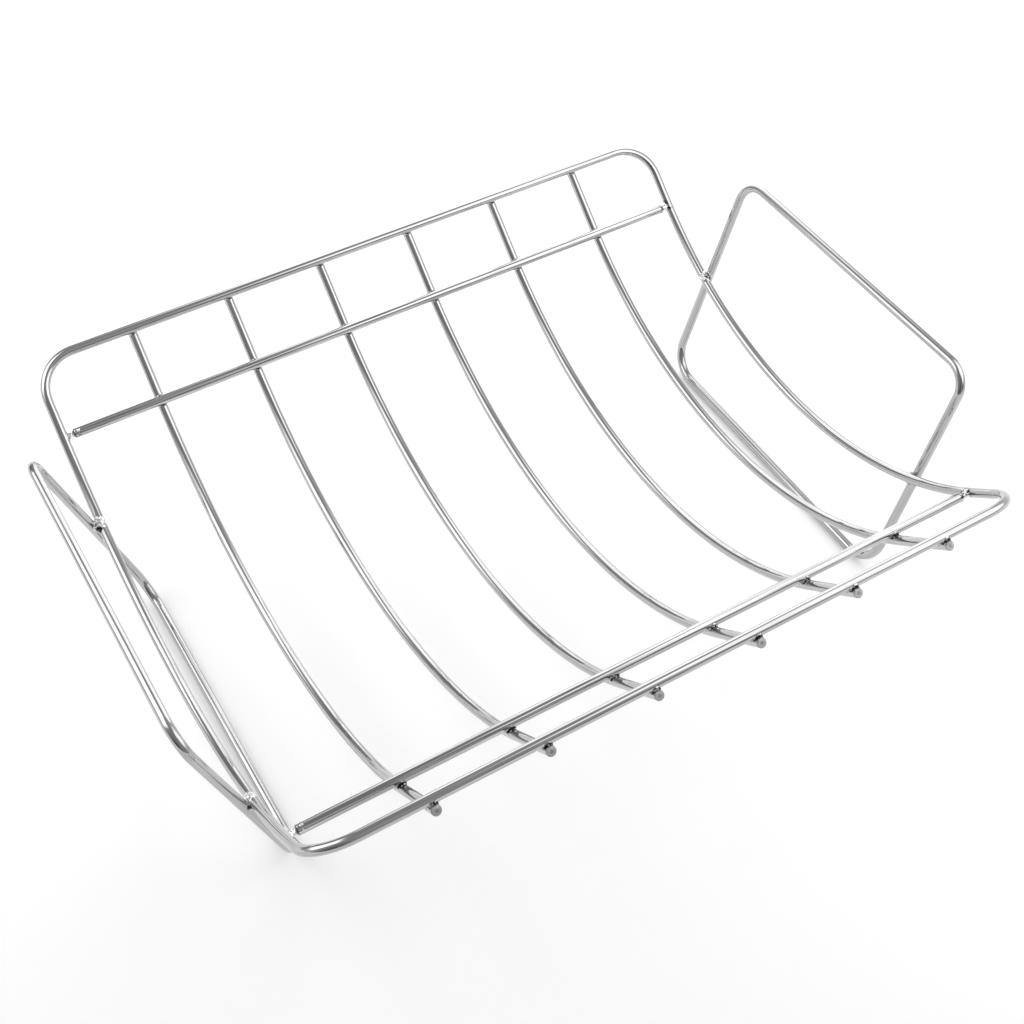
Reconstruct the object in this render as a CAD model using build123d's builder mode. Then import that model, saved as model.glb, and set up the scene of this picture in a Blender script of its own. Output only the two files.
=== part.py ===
from build123d import *

import os
from math import asin, cos, radians, sin, tan

# A roasting rack of welded round wire. A rounded rectangle of wire is rolled into a U-shaped
# cradle, two straight cross wires and a row of curved ribs carry the roast, and a splayed
# rectangular loop at each end is both a foot and a lifting handle.
# X runs along the cradle, Y across it and Z up. The origin is on the worktop, under the middle.
# Sizes are in millimetres and degrees, and every wire is sized along its centreline.

# Wire
wire_diameter = 4.7

# Cradle frame: two side wires rolled to an arc, with a straight tab at each end up to the rail
frame_gauge = 350.0
cradle_radius = 190.5
cradle_half_angle = 41.5
tab_length = 36.0
frame_corner_radius = 19.0

# Cross wires, set back from the rails: each rounded cut end stands off the side wire by a
# short waisted neck of its own metal, melted there and spread along the side wire
cross_wire_setback = 38.0
cross_end_gap = 2.7
cross_end_round = 0.8
cross_neck_radius = 1.5
cross_neck_flare = 1.3

# Ribs, lapped on the underside of the rails and the cross wires, evenly spaced between a bay
# beside each side wire
rib_count = 6
left_bay = 50.1
right_bay = 46.1
rib_overhang = 2.4
rib_end_round = 0.4

# End loops: the foot wires stand on the worktop
loop_width = 176.0
loop_height = 124.0
loop_splay = 18.0
loop_foot_radius = 16.0
loop_top_radius = 13.0
foot_drop = 37.9

# Lap welds: how deep a wire is pressed into the one it is welded to, how far the bead round the
# joint stands out past the wire's radius, and how far a loop's bead lies towards the side wire.
# The beads are metal of the ribs and the loops, squeezed out over the wire behind.
weld_set = 0.3
loop_bead_proud = 0.85
loop_bead_shift = 1.0
rib_bead_proud = 0.1

# Sizes that follow from those above
wire_radius = wire_diameter / 2
lap = wire_diameter - weld_set
foot_z = wire_radius
cradle_bottom = foot_z + foot_drop
arc_length = cradle_radius * radians(cradle_half_angle)
rail_reach = arc_length + tab_length
cross_reach = rail_reach - cross_wire_setback
side_x = frame_gauge / 2
cross_end_x = side_x - wire_radius - cross_end_gap
splay = radians(loop_splay)
rib_pitch = (frame_gauge - left_bay - right_bay) / (rib_count - 1)
rib_places = [left_bay - side_x + rib_pitch * i for i in range(rib_count)]


def cradle_point(x, reach, outward=0.0):
    """The point at a distance along the cradle's curve from its lowest line, moved outwards."""
    arc = max(-arc_length, min(reach, arc_length))
    angle = arc / cradle_radius
    radius = cradle_radius + outward
    y = radius * sin(angle) + (reach - arc) * cos(angle)
    z = cradle_bottom + cradle_radius - radius * cos(angle) + (reach - arc) * sin(angle)
    return Vector(x, y, z)


def cradle_along(reach):
    """The direction of the cradle's curve at a distance along it from its lowest line."""
    angle = max(-arc_length, min(reach, arc_length)) / cradle_radius
    return Vector(0, cos(angle), sin(angle))


def cradle_vertex(x, outward=0.0):
    """The point under the cradle where the lines of its two straight tabs meet."""
    drop = (cradle_radius + outward) / cos(radians(cradle_half_angle))
    return Vector(x, 0, cradle_bottom + cradle_radius - drop)


def nearest_points(point_a, along_a, point_b, along_b):
    """The two nearest points of two lines, each given by a point and a unit direction."""
    between = point_b - point_a
    turn = along_a.dot(along_b)
    spread = 1 - turn**2
    step_a = (between.dot(along_a) - turn * between.dot(along_b)) / spread
    step_b = (turn * between.dot(along_a) - between.dot(along_b)) / spread
    return point_a + along_a * step_a, point_b + along_b * step_b


# Where a leg of the right loop laps the outside of the side wire, at the back
crossing_reach = cradle_radius * asin(loop_width / 2 / cradle_radius)
side_point = cradle_point(side_x, crossing_reach)
side_along = cradle_along(crossing_reach)
leg_along = Vector(sin(splay), 0, cos(splay))
lap_normal = side_along.cross(leg_along).normalized()
leg_point = side_point + Vector(lap / lap_normal.X, 0, 0)
side_lap, leg_lap = nearest_points(side_point, side_along, leg_point, leg_along)
loop_bead = (side_lap + leg_lap) / 2 + (side_lap - leg_lap).normalized() * loop_bead_shift
foot_x = leg_point.X - (leg_point.Z - foot_z) * tan(splay)


def loop_point(side, y, height):
    """A point in the plane of an end loop, at a height up its splay from the foot wire."""
    return Vector(side * (foot_x + height * sin(splay)), y, foot_z + height * cos(splay))


# Frame: one wire through the rails, the corners and the rolled sides, its ends butted
with BuildPart() as frame_loop:
    with BuildLine() as frame_path:
        FilletPolyline(
            cradle_point(side_x, -rail_reach),
            cradle_vertex(side_x),
            cradle_point(side_x, rail_reach),
            cradle_point(-side_x, rail_reach),
            cradle_vertex(-side_x),
            cradle_point(-side_x, -rail_reach),
            radius=[frame_corner_radius, cradle_radius, frame_corner_radius] * 2,
            close=True,
        )
    with BuildSketch(frame_path.line ^ 0):
        Circle(wire_radius)
    sweep(path=frame_path.line)


def make_cross_wire(reach):
    """A straight wire with rounded ends, joined to the side wires by a waisted neck at each."""
    with BuildPart() as cross_wire:
        with BuildLine() as path:
            Line(cradle_point(-cross_end_x, reach), cradle_point(cross_end_x, reach))
        with BuildSketch(path.line ^ 0):
            Circle(wire_radius)
        sweep(path=path.line)
        fillet(cross_wire.faces().filter_by(GeomType.PLANE).edges(), cross_end_round)
        for side in (-1, 1):
            root = Plane(cradle_point(side * side_x, reach), cradle_along(reach), (-side, 0, 0))
            with BuildSketch(root.offset(wire_radius * 0.7)):
                Ellipse(wire_radius + cross_neck_flare, cross_neck_radius)
            with BuildSketch(root.offset(wire_radius + cross_end_gap * 0.6)):
                Circle(cross_neck_radius)
            with BuildSketch(root.offset(wire_radius + cross_end_gap + cross_end_round / 2)):
                Circle(cross_neck_radius)
            loft()
        add(frame_loop.part, mode=Mode.SUBTRACT)
    return cross_wire


front_cross_wire = make_cross_wire(-cross_reach)
rear_cross_wire = make_cross_wire(cross_reach)


def make_rib(x):
    """A curved wire under the cradle, seated in the wires that it crosses, a bead at each."""
    with BuildPart() as rib:
        with BuildLine() as path:
            FilletPolyline(
                cradle_point(x, -rail_reach - rib_overhang, lap),
                cradle_vertex(x, lap),
                cradle_point(x, rail_reach + rib_overhang, lap),
                radius=cradle_radius + lap,
            )
        with BuildSketch(path.line ^ 0):
            Circle(wire_radius)
        sweep(path=path.line)
        fillet(rib.faces().filter_by(GeomType.PLANE).edges(), rib_end_round)
        for reach in (-rail_reach, -cross_reach, cross_reach, rail_reach):
            with Locations(cradle_point(x, reach, lap / 2)):
                Sphere(wire_radius + rib_bead_proud)
        add(frame_loop.part, mode=Mode.SUBTRACT)
        add(front_cross_wire.part, mode=Mode.SUBTRACT)
        add(rear_cross_wire.part, mode=Mode.SUBTRACT)
    return rib


ribs = [make_rib(x) for x in rib_places]


def make_end_loop(side):
    """A closed rectangle of wire, its legs seated on the outside of a side wire, each in a bead."""
    with BuildPart() as end_loop:
        with BuildLine() as path:
            FilletPolyline(
                loop_point(side, -loop_width / 2, 0),
                loop_point(side, loop_width / 2, 0),
                loop_point(side, loop_width / 2, loop_height),
                loop_point(side, -loop_width / 2, loop_height),
                radius=[loop_foot_radius] * 2 + [loop_top_radius] * 2,
                close=True,
            )
        with BuildSketch(path.line ^ 0):
            Circle(wire_radius)
        sweep(path=path.line)
        for end in (-1, 1):
            with Locations(Vector(side * loop_bead.X, end * loop_bead.Y, loop_bead.Z)):
                Sphere(wire_radius + loop_bead_proud)
        add(frame_loop.part, mode=Mode.SUBTRACT)
    return end_loop


left_end_loop = make_end_loop(-1)
right_end_loop = make_end_loop(1)

# Write each piece to its own file
pieces = {
    "frame_loop": frame_loop,
    "front_cross_wire": front_cross_wire,
    "rear_cross_wire": rear_cross_wire,
    "left_end_loop": left_end_loop,
    "right_end_loop": right_end_loop,
}
for number, rib in enumerate(ribs, start=1):
    pieces[f"rib_{number}"] = rib

os.makedirs("parts", exist_ok=True)
for name, piece in pieces.items():
    piece.part.label = name
    export_step(piece.part, f"parts/{name}.step")
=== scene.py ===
from math import cos, pi, radians, sin

import bpy
from mathutils import Matrix, Vector

# The roasting rack of the photo, in bright steel wire on a white floor. Lengths are in metres and
# angles in degrees. An azimuth of 0 is towards +Y and 90 towards +X.

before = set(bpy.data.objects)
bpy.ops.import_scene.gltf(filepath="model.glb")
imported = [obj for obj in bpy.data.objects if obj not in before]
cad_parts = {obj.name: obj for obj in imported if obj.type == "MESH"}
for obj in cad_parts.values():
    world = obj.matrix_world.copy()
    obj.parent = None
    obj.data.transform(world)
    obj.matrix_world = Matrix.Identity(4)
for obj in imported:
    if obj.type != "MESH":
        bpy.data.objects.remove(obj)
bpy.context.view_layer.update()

# The picture that the camera is matched to, in pixels
IMAGE_SIZE = 1024
PRINCIPAL_POINT = (550.0, 400.0)
FOCAL_LENGTH_PX = 1658.95
SENSOR_WIDTH_MM = 36.0

# Where the camera stands and how it is turned
CAMERA_PLACE = (-0.2667, -0.4623, 0.6629)
CAMERA_YAW = 31.91
CAMERA_PITCH = -44.95
CAMERA_ROLL = 0.84

# The floor. It glows a little where the camera, gloss or glass sees it, and more further out, where
# the panels light it less.
FLOOR_RADIUS = 4.0
FLOOR_COLOUR = 0.94
FLOOR_ROUGHNESS = 0.9
GLOW_NEAR, GLOW_FAR = 0.14, 0.55
GLOW_RISES = (0.3, 0.9)

# Three softboxes round the rack, bright in the middle and soft at the edge: name, azimuth,
# elevation, distance, width, height, width of the soft edge and radiance
SOFTBOXES = [
    ("softbox_left", -62, 40, 0.69, 0.71, 0.78, 0.20, 2.02),
    ("softbox_back", 30, 24, 0.57, 0.71, 0.72, 0.14, 1.50),
    ("softbox_right", 124, 43, 0.57, 0.66, 0.70, 0.15, 1.64),
]
AIM = Vector((0, 0, 0.07))

# The tent between them: its brightness overhead and at the horizon, the least that it has, and its
# dim and bright patches, each an azimuth, an elevation, a tightness and a change of brightness
TENT_OVERHEAD = 0.52
TENT_HORIZON = 1.13
TENT_LEAST = 0.02
TENT_PATCHES = [
    (-135, -12, 2.6, -1.05),
    (-10, 1, 5.3, -0.71),
    (159, 9, 25.0, -0.46),
    (-65, 72, 55.0, 0.53),
]

# Sizes of the rack that the finish follows, along the centrelines of its wires. A reach is a
# distance along the cradle's curve from its lowest line.
SIDE_X = 0.175
CRADLE_RADIUS = 0.1905
CRADLE_CENTRE_Z = 0.23075
CRADLE_HALF_ANGLE = 41.5
RAIL_REACH = 0.17398
CROSS_REACH = 0.13598
FRAME_CORNER = 0.019
CROSS_END_X = 0.16995
RIB_LAP = 0.0044
RIB_END_REACH = 0.17638
FIRST_RIB_X = -0.1249
RIB_PITCH = 0.05076
RIB_COUNT = 6
LOOP_BEAD = (0.17613, 0.08749, 0.06106)
LOOP_FOOT = (0.16037, 0.00235)
LOOP_SPLAY = 18.0
LOOP_HALF_WIDTH = 0.088
LOOP_HALF_HEIGHT = 0.062
LOOP_CORNER = 0.0145

# Below, two numbers for one name are where a ramp starts and ends, and the next two, if there are
# any, are its values there.

# Bright drawn steel: its colour, each kind of wire's tone and how far its drawing lines shade it,
# and the lines' noise, depth and roughness
STEEL_COLOUR = 0.475
TONES = {"cross": (1.02, 0.50), "rib": (1.02, 0.20), "frame": (1.02, 0.20), "loop": (0.985, 0.20)}
PER_MM = 1000.0
LINES_PER_M_ALONG = 14.0
LINES_SCALE = 1.4
LINES_EDGES = (0.38, 0.62)
LINES_DEPTH = 0.00001
ROUGHNESS_LEAST, ROUGHNESS_IN_LINES = 0.03, 0.05

# Where wires are welded, the metal melted in lumps. Each kind of joint has the radius within which
# it melted, and how strong a painted highlight its brightest lumps get. Its crevice has painted
# shade near the joint's middle and close to the other wire.
LUMPS_SCALE = 0.9
LAP_MELT_AND_HIGHLIGHT = (0.0022, 0.3)
LOOP_BEAD_MELT_AND_HIGHLIGHT = (0.0030, 0.9)
FRAME_BEAD_MELT_AND_HIGHLIGHT = (0.0034, 1.1)
MELTED_EDGE = 0.0010
MELTED_HEIGHT = 0.0009
MELTED_HIGHLIGHT_LUMPS = (0.42, 0.56)
CREVICE_SHADE_NEAR_MIDDLE = (0.0050, 0.0066)
CREVICE_SHADE_NEAR_OTHER = (0.0031, 0.0038)
CREVICE_SHADE_LUMPS = (0.54, 0.62, 0.97, 0.3)

# The halves of the rack, where only one of them has a mark
LEFT = (-0.1, 0.0)
RIGHT = (0.0, 0.1)

# The loops' beads aren't all alike: the front right one, where y less x is least, melted less and
# has no painted crevice shade. The left ones have a toe of painted shade, outwards and forwards of
# the bead's middle and a little nearer to the middle of the rack.
FRONT_RIGHT_TO_OTHERS = (-0.22, -0.12)
FRONT_RIGHT_SHRINKS = 0.0012
# The side of a bead's middle that its painted crevice shade lies on: below for the left beads,
# above for the right
CREVICE_SHADE_SIDE = (-0.0017, -0.0003, 0.1, 0.9)
TOE_OUTWARD = 0.0010
TOE_FORWARD = 0.0026
TOE_INWARD = 0.0006
TOE_SHADE_RADIUS = (0.0013, 0.0022, 0.95, 0.0)

# The cross wires' necks, which are melted all round, with painted highlights on their lumps, and
# darkened at the right ends by scorch and a painted dark reflection
NECK_PAST_END = 0.0018
NECK_MELTED = (0.0018, 0.0032)
NECK_HEIGHT = 0.0004
NECK_HIGHLIGHT_LUMPS = (0.40, 0.54, 0.2, 0.9)
SCORCH_AND_REFLECTION_RADIUS = (0.0034, 0.0048)
SCORCH_AND_REFLECTION_SCALE = 0.45
SCORCH_AND_REFLECTION_LUMPS = (0.50, 0.56, 0.0, 0.95)

# The cross wires' ends, all with a dark rim of painted shade and the left ones domed, and the ribs'
# cut ends, which are duller, and darker in the middle
DOME_DEPTH = 0.0010
DOME_FROM_END = (-0.0032, -0.0015)
END_RIM_SHADE = (0.0002, 0.0007, 0.7, 0.0)
CUT_FROM_END = (-0.0003, -0.0001)
CUT_ROUGHNESS = 0.38
CUT_MIDDLE = (0.0003, 0.0013, 0.3, 0.0)


def bearing(azimuth, elevation):
    """The direction with an azimuth and an elevation."""
    a, e = radians(azimuth), radians(elevation)
    return Vector((sin(a) * cos(e), cos(a) * cos(e), sin(e)))


class Nodes:
    """A node tree that sums are written into as calls."""

    def __init__(self, tree):
        self.tree = tree

    def add(self, kind, **settings):
        node = self.tree.nodes.new(kind)
        for name, value in settings.items():
            setattr(node, name, value)
        return node

    def set(self, socket, value):
        """Link a socket to an input, or set the input to a number."""
        if isinstance(value, bpy.types.NodeSocket):
            self.tree.links.new(value, socket)
        else:
            socket.default_value = value

    def maths(self, operation, *values):
        node = self.add("ShaderNodeMath", operation=operation)
        for socket, value in zip(node.inputs, values):
            self.set(socket, value)
        return node.outputs[0]

    def plus(self, a, b):
        return self.maths("ADD", a, b)

    def minus(self, a, b):
        return self.maths("SUBTRACT", a, b)

    def times(self, a, b):
        return self.maths("MULTIPLY", a, b)

    def size(self, a):
        return self.maths("ABSOLUTE", a)

    def least(self, a, b):
        return self.maths("MINIMUM", a, b)

    def most(self, a, b):
        return self.maths("MAXIMUM", a, b)

    def vector(self, x, y, z):
        node = self.add("ShaderNodeCombineXYZ")
        for socket, value in zip(node.inputs, (x, y, z)):
            self.set(socket, value)
        return node.outputs[0]

    def split(self, vector):
        node = self.add("ShaderNodeSeparateXYZ")
        self.set(node.inputs[0], vector)
        return node.outputs

    def length(self, x, y, z=0.0):
        node = self.add("ShaderNodeVectorMath", operation="LENGTH")
        self.set(node.inputs[0], self.vector(x, y, z))
        return node.outputs["Value"]

    def ramp(self, value, low, high, to_low=0.0, to_high=1.0):
        """A smooth step from one value to another."""
        node = self.add("ShaderNodeMapRange", interpolation_type="SMOOTHSTEP")
        for socket, number in zip(node.inputs, (value, low, high, to_low, to_high)):
            self.set(socket, number)
        return node.outputs[0]

    def within(self, value, low, high):
        """A smooth step down from 1 to 0."""
        return self.ramp(value, low, high, 1.0, 0.0)

    def noise(self, vector, scale, detail=2.0):
        node = self.add("ShaderNodeTexNoise")
        self.set(node.inputs["Vector"], vector)
        node.inputs["Scale"].default_value = scale
        node.inputs["Detail"].default_value = detail
        return node.outputs["Fac"]

    def coordinates(self, kind):
        return self.add("ShaderNodeTexCoord").outputs[kind]

    def rounded_outline(self, u, v, half_u, half_v, corner):
        """The signed distance in a plane from a rounded rectangle about its origin."""
        past_u = self.minus(self.size(u), half_u - corner)
        past_v = self.minus(self.size(v), half_v - corner)
        outside = self.length(self.most(past_u, 0.0), self.most(past_v, 0.0))
        inside = self.least(self.most(past_u, past_v), 0.0)
        return self.minus(self.plus(outside, inside), corner)


def make_camera():
    """The camera of the picture, with its principal point off the middle."""
    data = bpy.data.cameras.new("camera")
    data.sensor_width = SENSOR_WIDTH_MM
    data.lens = FOCAL_LENGTH_PX * SENSOR_WIDTH_MM / IMAGE_SIZE
    data.shift_x = 0.5 - PRINCIPAL_POINT[0] / IMAGE_SIZE
    data.shift_y = PRINCIPAL_POINT[1] / IMAGE_SIZE - 0.5
    camera = bpy.data.objects.new("camera", data)
    forward = bearing(CAMERA_YAW, CAMERA_PITCH)
    level_right = bearing(CAMERA_YAW + 90, 0)
    level_up = level_right.cross(forward)
    roll = radians(CAMERA_ROLL)
    right = level_right * cos(roll) + level_up * sin(roll)
    up = level_up * cos(roll) - level_right * sin(roll)
    turned = Matrix((right, up, -forward)).transposed().to_4x4()
    camera.matrix_world = Matrix.Translation(CAMERA_PLACE) @ turned
    bpy.context.scene.collection.objects.link(camera)
    bpy.context.scene.camera = camera


def make_tent():
    """The world: a soft grey tent, brighter at the horizon, with dim and bright patches."""
    world = bpy.data.worlds.new("tent")
    bpy.context.scene.world = world
    world.use_nodes = True
    world.node_tree.nodes.clear()
    n = Nodes(world.node_tree)
    direction = n.coordinates("Generated")
    height = n.most(n.split(direction)["Z"], 0.0)
    level = n.maths("MULTIPLY_ADD", height, TENT_OVERHEAD - TENT_HORIZON, TENT_HORIZON)
    for azimuth, elevation, tightness, change in TENT_PATCHES:
        towards = n.add("ShaderNodeVectorMath", operation="DOT_PRODUCT")
        n.set(towards.inputs[0], direction)
        towards.inputs[1].default_value = bearing(azimuth, elevation)
        falling = n.maths("MULTIPLY_ADD", towards.outputs["Value"], tightness, -tightness)
        level = n.maths("MULTIPLY_ADD", n.maths("EXPONENT", falling), change, level)
    background = n.add("ShaderNodeBackground")
    n.set(background.inputs["Strength"], n.most(level, TENT_LEAST))
    n.set(n.add("ShaderNodeOutputWorld").inputs["Surface"], background.outputs[0])


def make_softbox(name, azimuth, elevation, distance, width, height, edge, radiance):
    """A rectangular area lamp that faces the rack and fades towards its edges."""
    lamp = bpy.data.lights.new(name, "AREA")
    lamp.shape = "RECTANGLE"
    lamp.size = width
    lamp.size_y = height
    lamp.energy = radiance * pi * width * height
    lamp.use_nodes = True
    n = Nodes(lamp.node_tree)
    place = n.split(n.add("ShaderNodeNewGeometry").outputs["Parametric"])
    fade = 1.0
    for axis, size in (("X", width), ("Y", height)):
        off_middle = n.size(n.minus(place[axis], 0.5))
        fade = n.times(n.ramp(n.times(n.minus(0.5, off_middle), size), 0.0, edge), fade)
    n.set(lamp.node_tree.nodes["Emission"].inputs["Strength"], fade)
    softbox = bpy.data.objects.new(name, lamp)
    outward = bearing(azimuth, elevation)
    softbox.location = AIM + outward * distance
    softbox.rotation_mode = "QUATERNION"
    softbox.rotation_quaternion = outward.to_track_quat("Z", "Y")
    softbox.visible_camera = False
    bpy.context.scene.collection.objects.link(softbox)


def make_floor():
    """The pale floor that the rack stands on, which keeps its shadow."""
    bpy.ops.mesh.primitive_circle_add(vertices=96, radius=FLOOR_RADIUS, fill_type="NGON")
    floor = bpy.context.object
    floor.name = "table_top"
    paper = bpy.data.materials.new("pale_paper")
    paper.use_nodes = True
    shader = paper.node_tree.nodes["Principled BSDF"]
    shader.inputs["Base Color"].default_value = (FLOOR_COLOUR, FLOOR_COLOUR, FLOOR_COLOUR, 1)
    shader.inputs["Roughness"].default_value = FLOOR_ROUGHNESS
    shader.inputs["Specular IOR Level"].default_value = 0.0
    shader.inputs["Emission Color"].default_value = (1, 1, 1, 1)
    n = Nodes(paper.node_tree)
    ray = n.add("ShaderNodeLightPath").outputs
    seen = n.most(ray["Is Camera Ray"], n.most(ray["Is Glossy Ray"], ray["Is Transmission Ray"]))
    from_middle = n.length(*n.split(n.coordinates("Object")))
    glow = n.ramp(from_middle, *GLOW_RISES, GLOW_NEAR, GLOW_FAR)
    n.set(shader.inputs["Emission Strength"], n.times(seen, glow))
    floor.data.materials.append(paper)


class Places:
    """Where a point of the rack lies, seen from the centrelines of its wires."""

    def __init__(self, n):
        x, y, z = n.split(n.coordinates("Object"))
        self.x, self.y, self.z = x, y, z
        self.in_mm = n.vector(n.times(x, PER_MM), n.times(y, PER_MM), n.times(z, PER_MM))
        self.reach, self.outward = self.on_cradle(n)
        self.by_frame = n.rounded_outline(x, self.reach, SIDE_X, RAIL_REACH, FRAME_CORNER)
        self.by_cross = n.minus(n.size(self.reach), CROSS_REACH)
        by_rail = n.size(n.minus(n.size(self.reach), RAIL_REACH))
        self.by_lapped = n.least(by_rail, n.size(self.by_cross))
        from_first = n.minus(x, FIRST_RIB_X)
        number = n.maths("ROUND", n.times(from_first, 1 / RIB_PITCH))
        number = n.least(n.most(number, 0.0), RIB_COUNT - 1)
        self.by_rib = n.minus(from_first, n.times(number, RIB_PITCH))
        self.under_rib = n.minus(self.outward, RIB_LAP)
        self.by_loop, self.off_loop, self.along_loop = self.on_loop(n)

    def on_cradle(self, n):
        """How far a point lies along the cradle's curve, and how far outwards of it."""
        most = radians(CRADLE_HALF_ANGLE)
        below = n.minus(CRADLE_CENTRE_Z, self.z)
        angle = n.least(n.most(n.maths("ARCTAN2", self.y, below), -most), most)
        sine, cosine = n.maths("SINE", angle), n.maths("COSINE", angle)
        outward = n.plus(n.times(self.y, sine), n.times(below, cosine))
        past = n.minus(n.times(self.y, cosine), n.times(below, sine))
        reach = n.plus(n.times(angle, CRADLE_RADIUS), past)
        return reach, n.minus(outward, CRADLE_RADIUS)

    def on_loop(self, n):
        """How far off an end loop's outline a point lies, how far off its plane, and along it."""
        from_foot = n.minus(n.size(self.x), LOOP_FOOT[0])
        above = n.minus(self.z, LOOP_FOOT[1])
        sine, cosine = sin(radians(LOOP_SPLAY)), cos(radians(LOOP_SPLAY))
        up = n.plus(n.times(from_foot, sine), n.times(above, cosine))
        half_sizes = (LOOP_HALF_WIDTH, LOOP_HALF_HEIGHT)
        middle = n.minus(up, LOOP_HALF_HEIGHT)
        by_loop = n.rounded_outline(self.y, middle, *half_sizes, LOOP_CORNER)
        off_loop = n.minus(n.times(from_foot, cosine), n.times(above, sine))
        return by_loop, off_loop, n.plus(self.y, up)

    def on_wire(self, n, kind):
        """How far off its own wire's centreline a point lies, two ways, and along it."""
        return {
            "cross": (self.by_cross, self.outward, self.x),
            "rib": (self.by_rib, self.under_rib, self.reach),
            "frame": (self.by_frame, self.outward, n.plus(self.x, self.reach)),
            "loop": (self.by_loop, self.off_loop, self.along_loop),
        }[kind]


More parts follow.
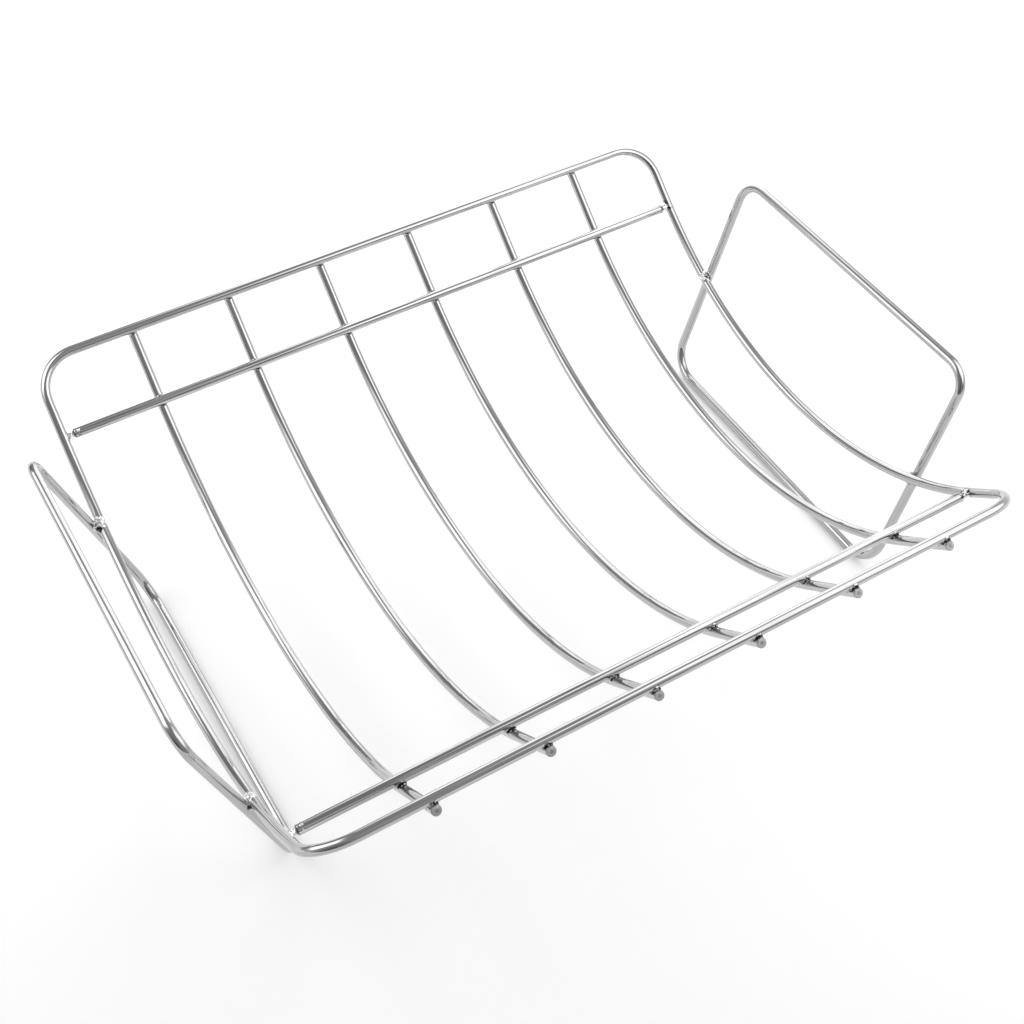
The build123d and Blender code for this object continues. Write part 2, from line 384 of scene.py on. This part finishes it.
class Steel:
    """Bright drawn steel for one kind of wire: its bump height, roughness and shade so far."""

    def __init__(self, kind):
        self.material = bpy.data.materials.new(kind + "_steel")
        self.material.use_nodes = True
        self.n = Nodes(self.material.node_tree)
        self.at = Places(self.n)
        self.draw_lines(kind)
        self.lumps = self.n.noise(self.at.in_mm, LUMPS_SCALE)
        if kind != "loop":
            self.weld_laps(kind)
        if kind in ("loop", "frame"):
            self.weld_loops(kind)
        if kind in ("cross", "frame"):
            self.weld_necks()
        if kind == "cross":
            self.melt_ends()
        if kind == "rib":
            self.cut_ends()
        self.finish()

    def raise_by(self, amount):
        self.height = self.n.plus(self.height, amount)

    def brighten(self, amount):
        self.shade = self.n.times(self.shade, self.n.plus(1.0, amount))

    def darken(self, amount):
        self.shade = self.n.times(self.shade, self.n.minus(1.0, amount))

    def draw_lines(self, kind):
        """Drawing lines that run with the wire."""
        n = self.n
        across, out, along = self.at.on_wire(n, kind)
        along = n.times(along, LINES_PER_M_ALONG)
        drawn = n.vector(n.times(across, PER_MM), n.times(out, PER_MM), along)
        lines = n.ramp(n.noise(drawn, LINES_SCALE, 1.0), *LINES_EDGES)
        tone, streak = TONES[kind]
        self.height = n.times(lines, LINES_DEPTH)
        self.roughness = n.maths("MULTIPLY_ADD", lines, ROUGHNESS_IN_LINES, ROUGHNESS_LEAST)
        self.shade = n.maths("MULTIPLY_ADD", lines, streak, tone - streak / 2)

    def weld(self, from_middle, from_other, melt_and_highlight, crevice_shade=1.0):
        """Melted lumps round a joint's middle with painted highlights, and painted crevice shade
        close to the other wire.
        """
        n = self.n
        radius, highlight = melt_and_highlight
        melted = n.within(from_middle, radius, radius + MELTED_EDGE)
        self.raise_by(n.times(n.times(melted, self.lumps), MELTED_HEIGHT))
        # Painted highlights on the brightest melted lumps
        self.brighten(n.times(melted, n.ramp(self.lumps, *MELTED_HIGHLIGHT_LUMPS, 0.0, highlight)))
        # Painted shade in the crevice near the joint's middle and close to the other wire
        shaded_crevice = n.within(from_middle, *CREVICE_SHADE_NEAR_MIDDLE)
        shaded_crevice = n.times(shaded_crevice, n.within(from_other, *CREVICE_SHADE_NEAR_OTHER))
        self.darken(n.times(n.times(shaded_crevice, crevice_shade), n.ramp(self.lumps, *CREVICE_SHADE_LUMPS)))

    def weld_laps(self, kind):
        """Where a rib laps a rail or a cross wire."""
        n, at = self.n, self.at
        from_middle = n.length(at.by_rib, at.by_lapped, n.minus(at.outward, RIB_LAP / 2))
        if kind == "rib":
            from_other = n.length(at.by_lapped, at.outward)
        else:
            from_other = n.length(at.by_rib, at.under_rib)
        self.weld(from_middle, from_other, LAP_MELT_AND_HIGHLIGHT)

    def weld_loops(self, kind):
        """Where a loop's leg laps a side wire."""
        n, at = self.n, self.at
        bead_x, bead_y, bead_z = LOOP_BEAD
        above = n.minus(at.z, bead_z)
        from_middle = n.length(n.minus(n.size(at.x), bead_x), n.minus(n.size(at.y), bead_y), above)

        # The left beads get painted crevice shade below, the rear right one above, and the front
        # right one none
        not_front_right = n.ramp(n.minus(at.y, at.x), *FRONT_RIGHT_TO_OTHERS)
        from_middle = n.plus(from_middle, n.times(n.minus(1.0, not_front_right), FRONT_RIGHT_SHRINKS))
        shaded_side = n.ramp(n.times(above, n.maths("SIGN", at.x)), *CREVICE_SHADE_SIDE)
        shaded_side = n.times(shaded_side, not_front_right)
        if kind == "loop":
            self.weld(from_middle, n.length(at.by_frame, at.outward), LOOP_BEAD_MELT_AND_HIGHLIGHT, shaded_side)
        else:
            self.weld(from_middle, n.length(at.by_loop, at.off_loop), FRAME_BEAD_MELT_AND_HIGHLIGHT, shaded_side)

        # The left beads' toes of painted shade
        outward = n.minus(n.size(at.x), bead_x + TOE_OUTWARD)
        middle_y = n.times(n.maths("SIGN", at.y), bead_y - TOE_INWARD)
        forward = n.minus(n.plus(at.y, TOE_FORWARD), middle_y)
        toe = n.ramp(n.length(outward, forward, above), *TOE_SHADE_RADIUS)
        self.darken(n.times(toe, n.within(at.x, *LEFT)))

    def weld_necks(self):
        """Where a cross wire's neck runs on to a side wire."""
        n, at = self.n, self.at
        past_end = n.minus(n.size(at.x), CROSS_END_X)
        from_neck = n.length(n.minus(past_end, NECK_PAST_END), at.by_cross, at.outward)
        melted = n.within(from_neck, *NECK_MELTED)
        self.raise_by(n.times(n.times(melted, self.lumps), NECK_HEIGHT))
        # Painted highlights on the neck's lumps
        self.brighten(n.times(melted, n.ramp(self.lumps, *NECK_HIGHLIGHT_LUMPS)))
        # Scorch and a painted dark reflection of the cross wire on the side wire, at the right ends
        scorch_and_reflection = n.times(n.within(from_neck, *SCORCH_AND_REFLECTION_RADIUS), n.ramp(at.x, *RIGHT))
        patches = n.ramp(n.noise(at.in_mm, SCORCH_AND_REFLECTION_SCALE), *SCORCH_AND_REFLECTION_LUMPS)
        self.darken(n.times(scorch_and_reflection, patches))

    def melt_ends(self):
        """The cross wires' ends, with a dark rim of painted shade, the left ones domed where they
        melted.
        """
        n, at = self.n, self.at
        past_end = n.minus(n.size(at.x), CROSS_END_X)
        dome = n.ramp(past_end, *DOME_FROM_END, 0.0, -DOME_DEPTH)
        self.raise_by(n.times(dome, n.within(at.x, *LEFT)))
        self.darken(n.ramp(n.size(past_end), *END_RIM_SHADE))

    def cut_ends(self):
        """The ribs' cut ends, duller than the drawn surface and darker in the middle."""
        n, at = self.n, self.at
        low, high = CUT_FROM_END
        cut = n.ramp(n.size(at.reach), RIB_END_REACH + low, RIB_END_REACH + high)
        self.roughness = n.plus(self.roughness, n.times(cut, CUT_ROUGHNESS))
        middle = n.ramp(n.length(at.by_rib, at.under_rib), *CUT_MIDDLE)
        self.darken(n.times(cut, middle))

    def finish(self):
        """Join the height, roughness and shade to the shader."""
        n = self.n
        bump = n.add("ShaderNodeBump")
        bump.inputs["Strength"].default_value = 1.0
        bump.inputs["Distance"].default_value = 1.0
        n.set(bump.inputs["Height"], self.height)
        colour = n.add("ShaderNodeCombineColor")
        for socket in colour.inputs:
            n.set(socket, n.times(self.shade, STEEL_COLOUR))
        shader = self.material.node_tree.nodes["Principled BSDF"]
        shader.inputs["Metallic"].default_value = 1.0
        n.set(shader.inputs["Base Color"], colour.outputs[0])
        n.set(shader.inputs["Roughness"], self.roughness)
        n.set(shader.inputs["Normal"], bump.outputs[0])


make_camera()
make_tent()
for softbox in SOFTBOXES:
    make_softbox(*softbox)
make_floor()

steels = {kind: Steel(kind).material for kind in TONES}
for name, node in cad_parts.items():
    kind = next(kind for kind in TONES if kind in name)
    node.material_slots[0].link = "OBJECT"
    node.material_slots[0].material = steels[kind]

bpy.context.scene.view_settings.view_transform = "Standard"
